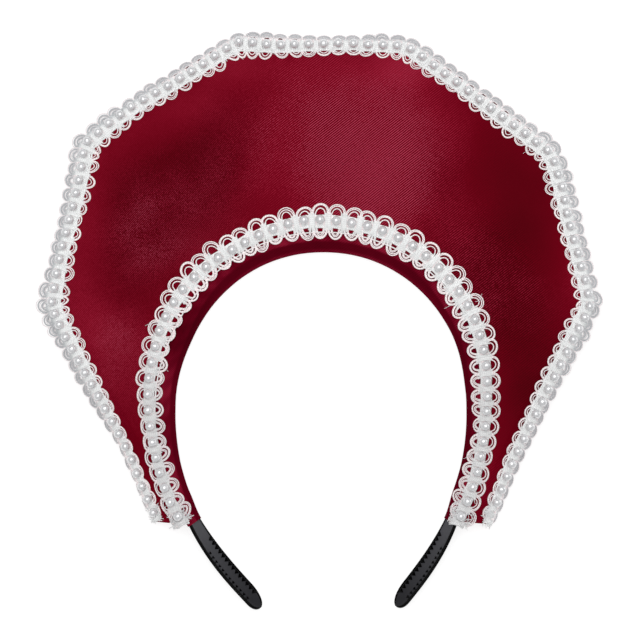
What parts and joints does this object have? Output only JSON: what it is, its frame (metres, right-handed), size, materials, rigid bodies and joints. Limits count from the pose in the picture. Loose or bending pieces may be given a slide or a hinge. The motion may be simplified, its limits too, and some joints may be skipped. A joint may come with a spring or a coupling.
{
  "type": "crown headpiece",
  "caption": "Flat crescent-shaped crown panel in satin on an arched hairband, edged with scalloped pearl braid, worn standing up over the forehead.",
  "frame": {"origin": "on the floor, under the middle of the headpiece as it lies on its back", "axes": "+X across the panel to the right as seen from the front, +Y up the panel from the hairband's ends to the crown's top, +Z out of the panel's front, away from the floor"},
  "size_m": [0.2373, 0.2437, 0.0154],
  "materials": {
    "crown_panel": "crimson satin stretched over a stiff board",
    "headband": "moulded black plastic",
    "band_sleeve": "crimson satin tube",
    "braid_outer": "white gimp braid set with pearl beads",
    "braid_inner": "white gimp braid set with pearl beads"
  },
  "bodies": {
    "root": {"crown_panel": "crown_panel", "headband": "headband", "band_sleeve": "band_sleeve", "braid_outer": "braid_outer", "braid_inner": "braid_inner"}
  },
  "joints": []
}
